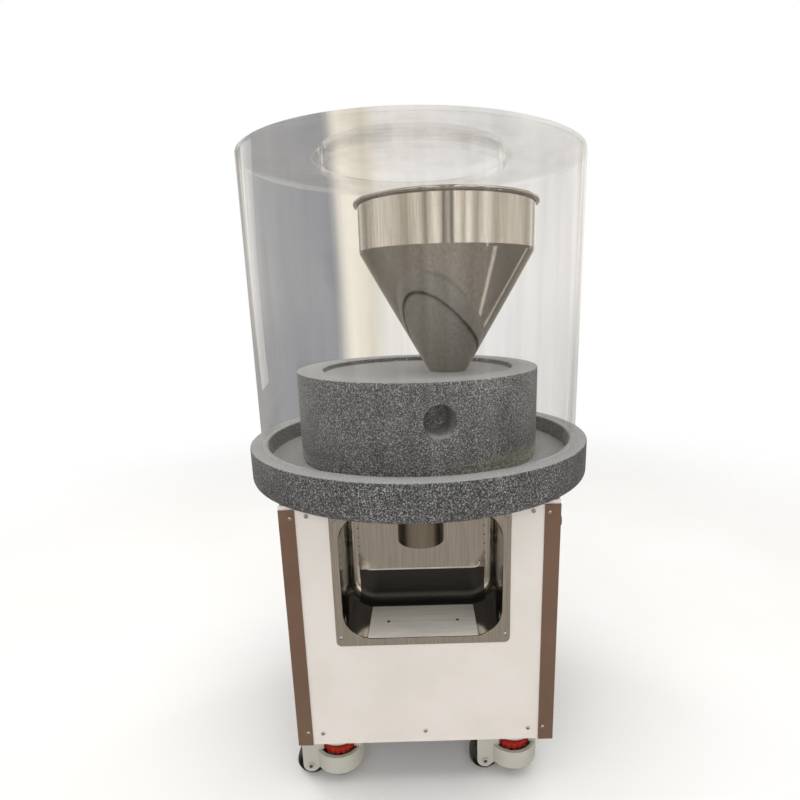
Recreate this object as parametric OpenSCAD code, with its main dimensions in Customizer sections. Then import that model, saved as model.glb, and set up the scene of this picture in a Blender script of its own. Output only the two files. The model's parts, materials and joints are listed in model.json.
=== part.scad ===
// Matcha stone mill on a cabinet with levelling castors.
// Millimetres, +Z up, front towards -Y, origin on the floor under the shaft.

/* [Cabinet] */
// Width of the cabinet over the side panels
cabinet_w = 400; // [390:1:430]
// Depth of the cabinet over the side panels' flanges
cabinet_d = 404; // [396:1:430]
// Height from the base plate's underside to the bed stone
cabinet_h = 400; // [380:1:440]
// Thickness of the sheet panels
sheet = 2; // [1.5:0.5:3]
// Width of the side panels' return flanges
flange_w = 23; // [20:1:28]
// Thickness of the top plate
top_t = 6; // [4:1:10]
// Thickness of the base plate
base_t = 4; // [3:1:8]
// Width of each corner post's legs
post_w = 42; // [40:1:50]
// Thickness of each corner post's legs
post_t = 3; // [2:0.5:5]
// Height of the base plate's upturned lips
lip_h = 30; // [26:1:40]

/* [Niche] */
// Width of the niche's opening
niche_w = 240; // [220:1:250]
// Height of the niche's opening
niche_h = 203; // [180:1:204]
// Height of the niche's floor above the base plate's underside
niche_floor = 185; // [180:1:186]
// Depth of the niche behind the front panel
niche_depth = 114; // [108:1:120]
// Corner radius of the niche
niche_r = 45; // [20:1:60]
// Width of the frame round the niche
niche_border = 10; // [8:1:12]
// Corner radius of that frame's outside
frame_r = 8; // [4:1:12]
// Sheet thickness of the niche
niche_t = 1.5; // [1:0.5:2]

/* [Stones] */
// Outside diameter of the bed stone
bed_d = 560; // [540:1:600]
// Thickness of the bed stone
bed_h = 56; // [50:1:70]
// Width of the bed stone's rim
rim_w = 28; // [24:1:34]
// Depth of the powder trough below the rim
trough_depth = 28; // [20:1:34]
// Diameter of the raised grinding face on the bed stone
plateau_d = 230; // [220:1:232]
// Height of the grinding face above the trough's floor
plateau_h = 36; // [30:1:44]
// Outside diameter of the runner stone
runner_d = 397; // [390:1:410]
// Height of the runner stone
runner_h = 141; // [130:1:150]
// Thickness of the runner's skirt
skirt_t = 11; // [8:1:14]
// Height of the hollow behind the skirt above the runner's grinding face
hollow_h = 14; // [10:1:18]
// Diameter of the recess in the runner's top
recess_d = 314; // [300:1:340]
// Depth of that recess
recess_depth = 8; // [4:1:14]
// Diameter of the handle socket in the runner's side
socket_d = 44; // [30:1:50]
// Depth of the handle socket
socket_depth = 60; // [40:1:70]
// Height of the handle socket above the runner's underside
socket_h = 86; // [70:1:95]
// Turn of the handle socket from the front, towards the right
socket_turn = 9; // [0:1:40]
// Running gap between the grinding faces
mill_gap = 0.5; // [0.3:0.1:1]
// Gap between the skirt and the trough's floor
skirt_gap = 1; // [0.8:0.1:2]

/* [Hopper and cover] */
// Distance of the hopper's axis from the shaft's
hopper_x = 51; // [50:1:56]
// Outside diameter of the hopper's straight part
hopper_d = 280; // [240:1:290]
// Outside diameter of the hopper's spout
spout_d = 63; // [50:1:64]
// Height of the hopper's cone
cone_h = 188; // [150:1:200]
// Height of the hopper's straight part
hopper_wall_h = 76; // [60:1:84]
// Thickness of the hopper's sheet
hopper_t = 1.5; // [1:0.5:2]
// Radius of the hopper's rolled edge
roll_r = 3.5; // [2.5:0.5:5]
// Length of the spout in the feed hole
spout_l = 30; // [20:1:50]
// Step from the bed stone's edge in to the clear cover
cover_inset = 19; // [12:1:22]
// Height of the clear cover, its top disc included
cover_h = 428; // [420:1:480]
// Thickness of the clear cover
cover_t = 5; // [4:1:6]
// Diameter of the fill opening in the cover's top
fill_d = 286; // [250:1:300]
// Width of the fill lid's brim
brim_w = 10; // [6:1:14]
// Thickness of the fill lid
lid_t = 4; // [3:1:5]
// Height of the fill lid above the cover
lid_h = 16; // [10:1:24]
// Length of the fill lid's collar below the cover's top
collar_l = 12; // [8:1:20]

/* [Drive] */
// Diameter of the shafts
shaft_d = 30; // [26:1:32]
// Diameter of the shaft's upper end, in the rynd
stub_d = 20; // [16:1:24]
// Length of the rynd across the runner
rynd_l = 110; // [90:1:130]
// Width of the rynd
rynd_w = 24; // [22:1:26]
// Outside diameter of the bearings
bearing_d = 55; // [50:1:58]
// Width of each bearing
bearing_w = 13; // [10:1:16]
// Length of the bearing housing below the top plate
housing_l = 100; // [80:1:110]
// Outside diameter of the bearing housing's tube
housing_d = 76; // [72:1:84]
// Diameter of the bearing housing's flange
housing_flange_d = 150; // [130:1:160]
// Tooth size of the gears
gear_module = 2.5; // [2:0.25:2.5]
// Teeth of the pinion
pinion_teeth = 16; // [14:2:18]
// Teeth of the output gear, whole turns of the pinion for each of its own
gear_ratio = 3; // [2:1:3]
// Width of the output gear
gear_w = 20; // [14:1:24]
// Height of the motor stand's shelf above the base plate
stand_h = 146; // [138:1:156]
// Wall of the gearbox
gearbox_t = 6; // [4:1:8]
// Inside height of the gearbox
gearbox_h = 48; // [40:1:56]
// Outside diameter of the motor
motor_d = 112; // [100:1:120]
// Length of the motor below the shelf
motor_l = 105; // [95:1:120]
// Diameter of the rotor
rotor_d = 62; // [50:1:66]
// Diameter of the motor's shaft
motor_shaft_d = 18; // [14:1:20]
// Outside diameter of the discharge chute
chute_d = 70; // [60:1:72]
// Distance of the chute in front of the shaft
chute_y = 146; // [144:1:150]
// Length of the chute below the bed stone
chute_l = 79; // [60:1:100]
// Wall of the chute
chute_t = 2; // [1:0.5:3]

/* [Controls] */
// Diameter of the speed knob
knob_d = 26; // [20:1:34]
// Length of the speed knob outside the panel
knob_l = 20; // [14:1:26]
// Distance of the speed knob in front of the shaft
knob_y = 121; // [110:1:130]
// Distance of the controls below the cabinet's top
control_drop = 63; // [55:1:75]
// Distance from the speed knob back to the power rocker
rocker_step = 50; // [44:1:60]
// Length of the rocker's bezel
bezel_l = 30; // [26:1:36]
// Width of the rocker's bezel
bezel_w = 22; // [20:1:26]

/* [Castors] */
// Height of the castors, from floor to base plate
castor_h = 96; // [94:1:106]
// Step from the cabinet's side in to a castor's swivel
castor_side = 55; // [53:1:62]
// Step from the cabinet's front or back in to a castor's swivel
castor_front = 56; // [54:1:66]
// Side of the square castor plate
castor_plate_w = 84; // [80:1:90]
// Diameter of the castor's cup
cup_d = 80; // [77:1:82]
// Diameter of the castor wheel
wheel_d = 50; // [46:1:51]
// Width of the castor wheel
wheel_w = 28; // [24:1:30]
// Distance from the swivel axis to the axle
axle_step = 47; // [46:1:50]
// Diameter of the axle
axle_d = 10; // [8:1:12]
// Diameter of the levelling foot's pad
pad_d = 44; // [36:1:46]
// Height of the levelling foot's pad above the floor when it is up
pad_lift = 5; // [3:1:6]
// Diameter of the levelling foot's stem
stem_d = 14; // [12:1:16]
// Thickness of the thumbwheel
thumb_t = 10; // [8:1:11]

/* [Fits] */
// Radial clearance of a running fit
run_fit = 0.05; // [0.02:0.01:0.1]
// Clearance between fixed pieces
seat_gap = 0.3; // [0.2:0.1:0.5]
// Gap under a piece that lifts off
lift_gap = 0.1; // [0.05:0.05:0.2]
// Shank diameter of the small screws
screw_d = 4; // [3:0.5:5]
// Head diameter of the small screws
head_d = 8; // [7:0.5:10]
// Head height of the small screws
head_h = 2.2; // [1.5:0.1:3]

/* [Hidden] */
$fn = 96;
over = 1;

// Half sizes and levels of the cabinet
side = cabinet_w / 2;
face = cabinet_d / 2;
castor_x = side - castor_side;
castor_y = face - castor_front;
base_z = castor_h;
floor_z = base_z + base_t;
top_z = base_z + cabinet_h;
plate_z = top_z - top_t;
side_in = side - sheet;
panel_front = face - sheet;
panel_back = panel_front - sheet;

// Levels and radii of the stones
bed_r = bed_d / 2;
bed_top = top_z + bed_h;
rim_in = bed_r - rim_w;
trough_z = bed_top - trough_depth;
grind_z = trough_z + plateau_h;
plateau_r = plateau_d / 2;
edge = 4;
wall_gap = 3;
skirt_z = trough_z + skirt_gap;
runner_r = runner_d / 2;
runner_top = skirt_z + runner_h;
face_z = grind_z + mill_gap;
hollow_z = face_z + hollow_h;
recess_r = recess_d / 2;
recess_z = runner_top - recess_depth;
skirt_in = runner_r - skirt_t;
discharge_d = chute_d - 2 * chute_t - 6;
feed_d = spout_d + 2 * seat_gap;

// Levels of the hopper and the cover
cone_z = recess_z;
cylinder_z = cone_z + cone_h;
hopper_top = cylinder_z + hopper_wall_h;
cover_z = bed_top + lift_gap;
cover_top_z = bed_top + cover_h;
disc_z = cover_top_z - cover_t;
cover_d = bed_d - 2 * cover_inset;
cover_r = cover_d / 2;
fill_r = fill_d / 2;

// Levels of the drive, from the top plate down
bore_r = shaft_d / 2 + wall_gap;
shoulder_z = face_z + 2;
rynd_h = hollow_h - 2;
stub_l = 50;
flange_t = 10;
bearing_drop = 20;
upper_z = plate_z - bearing_drop;
lower_z = plate_z - housing_l + 5;
collar_z = upper_z + bearing_w + lift_gap;
collar_t = 8;
collar_d = shaft_d + 14;
shelf_z = floor_z + stand_h;
shelf_t = 5;
box_floor_t = 8;
lid_z = shelf_z + box_floor_t + gearbox_h;
joint_z = (lid_z + gearbox_t + plate_z - housing_l) / 2;
coupling_l = 40;
coupling_t = 11;
coupling_d = shaft_d + 2 * coupling_t;
gear_teeth = pinion_teeth * gear_ratio;
centre_y = gear_module * (gear_teeth + pinion_teeth) / 2;
gear_z = shelf_z + box_floor_t + (gearbox_h - gear_w) / 2;
gear_tip = gear_module * (gear_teeth / 2 + 1);
pinion_tip = gear_module * (pinion_teeth / 2 + 1);
box_x = gear_tip + 5 + gearbox_t;
box_front = -box_x;
box_back = centre_y + pinion_tip + 5 + gearbox_t;
bush_d = shaft_d + 10;
motor_t = 6;
motor_low = shelf_z - shelf_t - motor_l;
stator_d = motor_d - 2 * motor_t - 2 * seat_gap;
air_gap = 1;
core_ends = 45;
core_lift = 20;
core_l = motor_l - core_ends;
core_z = motor_low + core_lift;
bolt_edge = 9;
bolt_step = castor_plate_w / 2 - bolt_edge;
bolt_d = 8;
stand_x = 150;
stand_front = -80;
stand_back = 150;
leg_back = castor_y - bolt_step - bolt_d - 10;
stand_foot = 30;

// Places of the screws, as side and height
screw_x = side_in - post_w + 5;
screw_top = plate_z - 10;
screw_rise = 20;
screw_low = base_z + screw_rise;
flange_x = side - 16.5;
flange_top = plate_z - 12;
flange_rise = 23;
flange_low = base_z + flange_rise;
shank_l = 9;
panel_places = [[-screw_x, screw_top], [screw_x, screw_top], [-screw_x, screw_low], [screw_x, screw_low],
    [0, screw_low]];
flange_places = [for (x = [-flange_x, flange_x], z = [flange_top, flange_low]) [x, z]];

// Levels and places of the niche
niche_z = base_z + niche_floor;
niche_top = niche_z + niche_h;
niche_back = panel_front - niche_depth;
frame_places = [for (x = [-1, 1], z = [niche_z + 4, niche_top - niche_border])
    [x * (niche_w + niche_border / 2) / 2, z]];
floor_places = [[-54, -158], [54, -158]];
flush = 0.1;

// Places of the controls
control_z = top_z - control_drop;
rocker_y = -knob_y + rocker_step;
rocker_tip = 7;
rocker_pin = 4;
hole_lead = 12;
hole_l = 40;
stem_hole_d = 8;
stem_room = 30;
stem_deep = 20;
control_deep = 50;
control_half_w = 24;
control_half_h = 34;
inlet_x = -110;
inlet_rise = 60;
inlet_deep = 30;
inlet_z = base_z + inlet_rise;
inlet_w = 50;
inlet_h = 28;
vent_w = 160;
vent_h = 6;
vent_low = 200;
vent_step = 18;

// Places of the castors
castor_places = [[-castor_x, -castor_y], [castor_x, -castor_y], [-castor_x, castor_y], [castor_x, castor_y]];
castor_plate_t = 5;
swivel_z = castor_h - castor_plate_t;
pin_d = 30;
pin_l = 12;
cup_top = swivel_z - 1;
cup_low = 24;
cup_rim = 55;
cup_t = 6;
roof_z = cup_top - 14;
roof_d = 72;
pillar_t = 10;
pillar_w = 32;
pin_gap = 0.5;
thumb_z = cup_rim - 4;
thumb_gap = 12;
thumb_d = cup_d - 2 * thumb_gap;
axle_z = wheel_d / 2;
cheek_t = 6;
cheek_r = 13;
cheek_top = swivel_z - 8;
cheek_in = 24;
cheek_out = 32;
wheel_gap = 2.5;
axle_end = 3;
cheek_y = wheel_w / 2 + 1;

// A box between two corners
module block(low, high) translate(low) cube(high - low);

// A ring about Z
module ring(outer, inner, h) difference() {
    cylinder(d = outer, h = h);
    translate([0, 0, -over]) cylinder(d = inner, h = h + 2 * over);
}

// A flat rectangle about the origin with round corners
module round_rect(w, h, r) {
    square([w - 2 * r, h], center = true);
    square([w, h - 2 * r], center = true);
    for (x = [-1, 1], y = [-1, 1]) translate([x * (w / 2 - r), y * (h / 2 - r)]) circle(r = r);
}

// A flat slot about the origin with round ends
module round_slot(w, h) {
    square([w - h, h], center = true);
    for (x = [-1, 1]) translate([x * (w - h) / 2, 0]) circle(d = h);
}

// A rounded opening drawn from the front, between two depths
module front_prism(w, h, r, z_mid, y0, y1) translate([0, y1, z_mid]) rotate([90, 0, 0])
    linear_extrude(y1 - y0) round_rect(w, h, r);

// Round holes through the front, or through the back when turned round
module front_holes(places, d) for (p = places) translate([p[0], 0, p[1]]) rotate([90, 0, 0])
    translate([0, 0, panel_back - hole_lead]) cylinder(d = d, h = hole_l);

// A screw at the front whose head lies on the plane y = -seat
module front_screw(p, seat) translate([p[0], -seat, p[1]]) rotate([90, 0, 0]) {
    cylinder(d = head_d, h = head_h);
    translate([0, 0, -shank_l]) cylinder(d = screw_d, h = shank_l + head_h / 2);
}

// The outline of a gear with straight-sided teeth and a named play
gear_play = 0.9;
function tooth_half(n, r) = gear_module * 3.14159 / 4 - gear_play / 2 - (r - gear_module * n / 2) * tan(22);
function tooth_point(n, k, r, s) = let (a = 360 * k / n + s * tooth_half(n, r) / r * 57.29578)
    [r * cos(a), r * sin(a)];
function gear_points(n) = let (tip = gear_module * (n / 2 + 1), root = gear_module * (n / 2 - 1.25))
    [for (k = [0:n - 1]) each [tooth_point(n, k, root, -1), tooth_point(n, k, tip, -1),
        tooth_point(n, k, tip, 1), tooth_point(n, k, root, 1)]];

module bed_stone() color("dimgray") difference() {
    rotate_extrude() polygon([[bore_r, top_z], [bed_r - edge, top_z], [bed_r, top_z + edge],
        [bed_r, bed_top - edge], [bed_r - edge, bed_top], [rim_in + 2, bed_top],
        [rim_in, bed_top - 2], [rim_in, trough_z + 2 * edge],
        [rim_in - edge, trough_z], [plateau_r, trough_z], [plateau_r, grind_z], [bore_r, grind_z]]);
    translate([0, -chute_y, top_z - over]) cylinder(d = discharge_d, h = bed_h);
}

// Holes that go up into the runner from below: feed hole, shaft and its stub
module runner_holes() {
    translate([hopper_x, 0, face_z - over]) cylinder(d = feed_d, h = runner_h);
    translate([0, 0, face_z - over]) cylinder(d = stub_d + 2 * seat_gap, h = stub_l + 4);
    cylinder(d = shaft_d + 2 * seat_gap, h = shoulder_z);
}

// Drum of the runner, above the level of the powder channel
module runner_stone() color("gray") difference() {
    rotate_extrude() polygon([[0, hollow_z], [runner_r, hollow_z],
        [runner_r, runner_top - edge], [runner_r - edge, runner_top], [recess_r + 2, runner_top],
        [recess_r, runner_top - 2], [recess_r, recess_z], [0, recess_z]]);
    runner_holes();
    rotate([0, 0, socket_turn - 90]) translate([runner_r - socket_depth, 0, skirt_z + socket_h])
        rotate([0, 90, 0]) cylinder(d = socket_d, h = socket_depth + over);
}

// Stone ring under the drum's edge, which keeps the powder in the channel
module runner_skirt() color("gray") rotate_extrude() polygon([[skirt_in, skirt_z], [runner_r - 2, skirt_z],
    [runner_r, skirt_z + 2], [runner_r, hollow_z], [skirt_in, hollow_z]]);

// Stone disc under the drum that grinds on the bed stone, slotted for the rynd
module grinding_face() color("gray") difference() {
    translate([0, 0, face_z]) cylinder(r = plateau_r + wall_gap, h = hollow_h);
    runner_holes();
    block([-rynd_w / 2 - seat_gap, -rynd_l / 2 - seat_gap, face_z - over],
        [rynd_w / 2 + seat_gap, rynd_l / 2 + seat_gap, hollow_z + over]);
}

// Iron bar let into the runner's underside, which the shaft turns
module rynd() color("darkslategray") difference() {
    block([-rynd_w / 2, -rynd_l / 2, shoulder_z], [rynd_w / 2, rynd_l / 2, shoulder_z + rynd_h]);
    translate([0, 0, shoulder_z - over]) cylinder(d = stub_d + 2 * run_fit, h = rynd_h + 2 * over);
}

// Blade under the runner that sweeps powder to the discharge hole
module powder_scraper() color("silver") {
    block([-2, plateau_r + 2 * wall_gap, trough_z + skirt_gap], [2, skirt_in - wall_gap, hollow_z]);
    block([-12, plateau_r + 2 * wall_gap, hollow_z - 4], [12, skirt_in - wall_gap, hollow_z]);
}

module hopper() color("gainsboro") translate([hopper_x, 0, 0]) {
    rotate_extrude() polygon([[spout_d / 2, cone_z - spout_l], [spout_d / 2, cone_z],
        [hopper_d / 2, cylinder_z], [hopper_d / 2, hopper_top], [hopper_d / 2 - hopper_t, hopper_top],
        [hopper_d / 2 - hopper_t, cylinder_z], [spout_d / 2 - hopper_t, cone_z],
        [spout_d / 2 - hopper_t, cone_z - spout_l]]);
    translate([0, 0, hopper_top - roll_r]) rotate_extrude()
        translate([hopper_d / 2 + roll_r - hopper_t / 2, 0]) circle(r = roll_r, $fn = 32);
}

module cover_shell() color("lightblue", 0.3) translate([0, 0, cover_z])
    ring(cover_d, cover_d - 2 * cover_t, disc_z - cover_z);

module cover_top() color("lightblue", 0.3) translate([0, 0, disc_z]) ring(cover_d, fill_d, cover_t);

module fill_lid() color("lightblue", 0.3) {
    collar_r = fill_r - 2 * seat_gap;
    rotate_extrude() polygon([[collar_r - lid_t, cover_top_z - collar_l], [collar_r, cover_top_z - collar_l],
        [collar_r, cover_top_z + lift_gap], [fill_r + brim_w, cover_top_z + lift_gap],
        [fill_r + brim_w, cover_top_z + lid_t], [collar_r, cover_top_z + lid_t],
        [collar_r, cover_top_z + lid_h], [0, cover_top_z + lid_h], [0, cover_top_z + lid_h - lid_t],
        [collar_r - lid_t, cover_top_z + lid_h - lid_t]]);
}

module discharge_chute() color("silver") translate([0, -chute_y, 0]) {
    translate([0, 0, top_z - chute_l]) ring(chute_d, chute_d - 2 * chute_t, chute_l);
    translate([0, 0, plate_z - 3]) ring(chute_d + 14, chute_d - 2 * chute_t, 3);
}

module top_plate() color("antiquewhite") difference() {
    block([-side, -panel_front, plate_z], [side, panel_front, top_z]);
    translate([0, 0, plate_z - over]) cylinder(d = bearing_d + 6, h = top_t + 2 * over);
    translate([0, -chute_y, plate_z - over]) cylinder(d = chute_d + 2 * seat_gap, h = top_t + 2 * over);
}

module base_plate() color("dimgray") difference() {
    union() {
        block([-side_in + seat_gap, -panel_back, base_z], [side_in - seat_gap, panel_back, floor_z]);
        for (y = [-1, 1]) block([-stand_x, y > 0 ? panel_back - post_t : -panel_back, base_z],
            [stand_x, y > 0 ? panel_back : -panel_back + post_t, base_z + lip_h]);
    }
    for (a = [0, 180]) rotate([0, 0, a]) front_holes([panel_places[4]], screw_d + 2 * seat_gap);
    castor_holes();
}

module castor_holes() for (c = castor_places, x = [-1, 1], y = [-1, 1])
    translate([c[0] + x * bolt_step, c[1] + y * bolt_step, swivel_z - over])
        cylinder(d = bolt_d + 2 * seat_gap, h = 20);

module corner_posts() color("dimgray") difference() {
    for (a = [-1, 1], b = [-1, 1]) angle_post(a, b);
    front_holes(concat(panel_places, flange_places), screw_d + 2 * seat_gap);
    rotate([0, 0, 180]) front_holes(concat(panel_places, flange_places), screw_d + 2 * seat_gap);
}

// One angle post in the corner that lies towards a in X and b in Y
module angle_post(a, b) mirror([a > 0 ? 0 : 1, 0, 0]) mirror([0, b > 0 ? 0 : 1, 0]) {
    block([side_in - post_w, panel_back - post_t, floor_z], [side_in - seat_gap, panel_back, plate_z]);
    block([side_in - seat_gap - post_t, panel_back - post_w, floor_z],
        [side_in - seat_gap, panel_back, plate_z]);
}

module front_panel() color("linen") difference() {
    block([-side_in + seat_gap, -panel_front, base_z], [side_in - seat_gap, -panel_back, plate_z]);
    front_prism(niche_w, niche_h, niche_r, (niche_z + niche_top) / 2, -face - over, -panel_back + over);
    front_holes(concat(panel_places, flange_places), screw_d + 2 * seat_gap);
    front_holes(frame_places, screw_d + 2 * seat_gap);
}

module rear_panel() color("linen") difference() {
    block([-side_in + seat_gap, panel_back, base_z], [side_in - seat_gap, panel_front, plate_z]);
    rotate([0, 0, 180]) front_holes(concat(panel_places, flange_places), screw_d + 2 * seat_gap);
    for (k = [0:7]) translate([0, face, base_z + vent_low + vent_step * k]) rotate([90, 0, 0])
        linear_extrude(4 * sheet) round_slot(vent_w, vent_h);
    block([inlet_x - inlet_w / 2, panel_back - over, inlet_z - inlet_h / 2],
        [inlet_x + inlet_w / 2, face + over, inlet_z + inlet_h / 2]);
}

// A side panel on the right, with its front and back return flanges
module side_sheet() difference() {
    union() {
        block([side_in, -face, base_z], [side, face, plate_z]);
        for (y = [-face, panel_front]) block([side - flange_w, y, base_z], [side, y + sheet, plate_z]);
    }
    front_holes(flange_places, screw_d + 2 * seat_gap);
    rotate([0, 0, 180]) front_holes(flange_places, screw_d + 2 * seat_gap);
}

module left_side_panel() color("saddlebrown") mirror([1, 0, 0]) side_sheet();

module right_side_panel() color("saddlebrown") difference() {
    side_sheet();
    translate([side_in - over, -knob_y, control_z]) rotate([0, 90, 0])
        cylinder(d = stem_hole_d + 1, h = 4 * sheet);
    block([side_in - over, rocker_y - bezel_l / 2 + 2, control_z - bezel_w / 2 + 2],
        [side + over, rocker_y + bezel_l / 2 - 2, control_z + bezel_w / 2 - 2]);
}

module niche_liner() color("silver") difference() {
    mid = (niche_z + niche_top) / 2;
    union() {
        front_prism(niche_w + 2 * niche_border, niche_h + 2 * niche_border, frame_r, mid,
            -panel_front - niche_t, -panel_front);
        front_prism(niche_w - 2 * seat_gap, niche_h - 2 * seat_gap, niche_r, mid,
            -panel_front - over / 2, -niche_back);
    }
    front_prism(niche_w - 2 * seat_gap - 2 * niche_t, niche_h - 2 * seat_gap - 2 * niche_t, niche_r - niche_t,
        mid, -face - over, -niche_back - niche_t);
    translate([0, -chute_y, mid]) cylinder(d = chute_d + 2 * seat_gap, h = niche_h);
    front_holes(frame_places, screw_d + 2 * seat_gap);
    for (p = floor_places) translate([p[0], p[1], niche_z - 5]) cylinder(d = screw_d + 2 * seat_gap, h = 10);
    for (p = floor_places) translate([p[0], p[1], niche_z + seat_gap])
        flat_head(screw_d + 2 * seat_gap, niche_t + over);
}

// A countersunk head that widens upwards from a diameter
module flat_head(d, h) cylinder(d1 = d, d2 = d + 2 * h, h = h);

module panel_screws() color("lightgray") for (a = [0, 180]) rotate([0, 0, a])
    for (p = panel_places) front_screw(p, panel_front);

module flange_screws() color("lightgray") for (a = [0, 180]) rotate([0, 0, a])
    for (p = flange_places) front_screw(p, face);

module niche_screws() color("lightgray") {
    for (p = frame_places) front_screw(p, panel_front + niche_t);
    for (p = floor_places) translate([p[0], p[1], niche_z + seat_gap - flush]) {
        flat_head(screw_d, niche_t);
        translate([0, 0, -shank_l]) cylinder(d = screw_d, h = shank_l + niche_t / 2);
    }
}

// Lip seal round the shaft in the bed stone's bore
module shaft_seal() color("black") translate([0, 0, grind_z - 12])
    ring(2 * bore_r - 2 * run_fit, shaft_d + 2 * run_fit, 10);

module bearing_housing() color("slategray") {
    br = bearing_d / 2 + run_fit;
    hr = housing_d / 2;
    fr = housing_flange_d / 2;
    mid_r = shaft_d / 2 + 6;
    rotate_extrude() polygon([[br, plate_z], [fr, plate_z], [fr, plate_z - flange_t],
        [hr, plate_z - flange_t], [hr, lower_z - 5], [br, lower_z - 5], [br, lower_z + bearing_w],
        [mid_r, lower_z + bearing_w],
        [mid_r, upper_z], [br, upper_z]]);
}

module upper_bearing() color("lightsteelblue") translate([0, 0, upper_z])
    ring(bearing_d, shaft_d + 2 * run_fit, bearing_w);

module lower_bearing() color("lightsteelblue") translate([0, 0, lower_z])
    ring(bearing_d, shaft_d + 2 * run_fit, bearing_w);

module drive_shaft() color("silver") {
    translate([0, 0, joint_z + over]) cylinder(d = shaft_d, h = shoulder_z - joint_z - over);
    translate([0, 0, shoulder_z - over]) cylinder(d = stub_d, h = stub_l + over);
    translate([0, 0, collar_z]) cylinder(d = collar_d, h = collar_t);
}

module shaft_coupling() color("dimgray") translate([0, 0, joint_z - coupling_l / 2])
    ring(coupling_d, shaft_d + 2 * run_fit, coupling_l);

module output_shaft() color("silver") translate([0, 0, shelf_z + seat_gap])
    cylinder(d = shaft_d, h = joint_z - over - shelf_z - seat_gap);

module output_gear() color("darkgoldenrod") translate([0, 0, gear_z]) difference() {
    linear_extrude(gear_w) polygon(gear_points(gear_teeth));
    translate([0, 0, -over]) cylinder(d = shaft_d + 2 * run_fit, h = gear_w + 2 * over);
}

module gearbox_housing() color("slategray") difference() {
    block([-box_x, box_front, shelf_z], [box_x, box_back, lid_z]);
    block([-box_x + gearbox_t, box_front + gearbox_t, shelf_z + box_floor_t],
        [box_x - gearbox_t, box_back - gearbox_t, lid_z + over]);
    translate([0, 0, shelf_z - over]) cylinder(d = bush_d, h = box_floor_t + 2 * over);
    translate([0, centre_y, shelf_z - over]) cylinder(d = motor_shaft_d + 2, h = box_floor_t + 2 * over);
}

module gearbox_lid() color("slategray") translate([0, 0, lid_z]) difference() {
    block([-box_x, box_front, 0], [box_x, box_back, gearbox_t]);
    translate([0, 0, -over]) cylinder(d = shaft_d + 2, h = gearbox_t + 2 * over);
}

module gearbox_bush() color("goldenrod") translate([0, 0, shelf_z])
    ring(bush_d - 2 * run_fit, shaft_d + 2 * run_fit, box_floor_t);

module motor_housing() color("dimgray") translate([0, centre_y, motor_low]) difference() {
    cylinder(d = motor_d, h = motor_l);
    translate([0, 0, motor_t]) cylinder(d = motor_d - 2 * motor_t, h = motor_l - 2 * motor_t);
    translate([0, 0, motor_t / 2]) cylinder(d = motor_shaft_d + 2 * run_fit, h = motor_l);
}

module motor_stator() color("peru") translate([0, centre_y, core_z])
    ring(stator_d, rotor_d + 2 * air_gap, core_l);

module motor_rotor() color("silver") translate([0, centre_y, 0]) {
    translate([0, 0, core_z]) cylinder(d = rotor_d, h = core_l);
    translate([0, 0, motor_low + motor_t / 2 + seat_gap])
        cylinder(d = motor_shaft_d, h = gear_z + gear_w - motor_low - motor_t / 2 - seat_gap);
}

module motor_pinion() color("darkgoldenrod") translate([0, centre_y, gear_z]) difference() {
    rotate([0, 0, 90 + 180 / pinion_teeth * (1 + pinion_teeth % 4 / 2)])
        linear_extrude(gear_w) polygon(gear_points(pinion_teeth));
    translate([0, 0, -over]) cylinder(d = motor_shaft_d + 2 * run_fit, h = gear_w + 2 * over);
}

module motor_stand() color("gray") difference() {
    union() {
        block([-stand_x, stand_front, shelf_z - shelf_t], [stand_x, stand_back, shelf_z]);
        for (x = [-1, 1]) mirror([x > 0 ? 0 : 1, 0, 0]) {
            block([stand_x - shelf_t, stand_front, floor_z], [stand_x, leg_back, shelf_z]);
            block([stand_x - shelf_t, stand_front, floor_z],
                [stand_x + stand_foot, leg_back, floor_z + shelf_t]);
        }
    }
    translate([0, centre_y, shelf_z - shelf_t - over]) cylinder(d = motor_shaft_d + 6, h = shelf_t + 2 * over);
}

module speed_knob() color("dimgray") translate([side + seat_gap, -knob_y, control_z]) rotate([0, 90, 0]) {
    cylinder(d = knob_d, h = knob_l);
    translate([0, 0, -2 * sheet - 8]) cylinder(d = stem_hole_d - 2, h = 2 * sheet + 8 + over);
}

module speed_controller() color("darkolivegreen") difference() {
    block([side_in - control_deep, -knob_y - control_half_w, control_z - control_half_h],
        [side_in, -knob_y + control_half_w, control_z + control_half_h]);
    translate([side_in - stem_deep, -knob_y, control_z]) rotate([0, 90, 0])
        cylinder(d = stem_hole_d - 2 + 2 * run_fit, h = stem_room);
}

// Frame of the power rocker, snapped into the right side panel
module rocker_bezel() color("black") difference() {
    union() {
        block([side, rocker_y - bezel_l / 2, control_z - bezel_w / 2],
            [side + 2, rocker_y + bezel_l / 2, control_z + bezel_w / 2]);
        block([side - 14, rocker_y - bezel_l / 2 + 2 + seat_gap, control_z - bezel_w / 2 + 2 + seat_gap],
            [side + 1, rocker_y + bezel_l / 2 - 2 - seat_gap, control_z + bezel_w / 2 - 2 - seat_gap]);
    }
    block([side - 10, rocker_y - bezel_l / 2 + 4, control_z - bezel_w / 2 + 4],
        [side + 2 + over, rocker_y + bezel_l / 2 - 4, control_z + bezel_w / 2 - 4]);
    translate([side - 3, rocker_y, control_z])
        cylinder(d = rocker_pin + 2 * run_fit, h = bezel_w, center = true);
}

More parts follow.
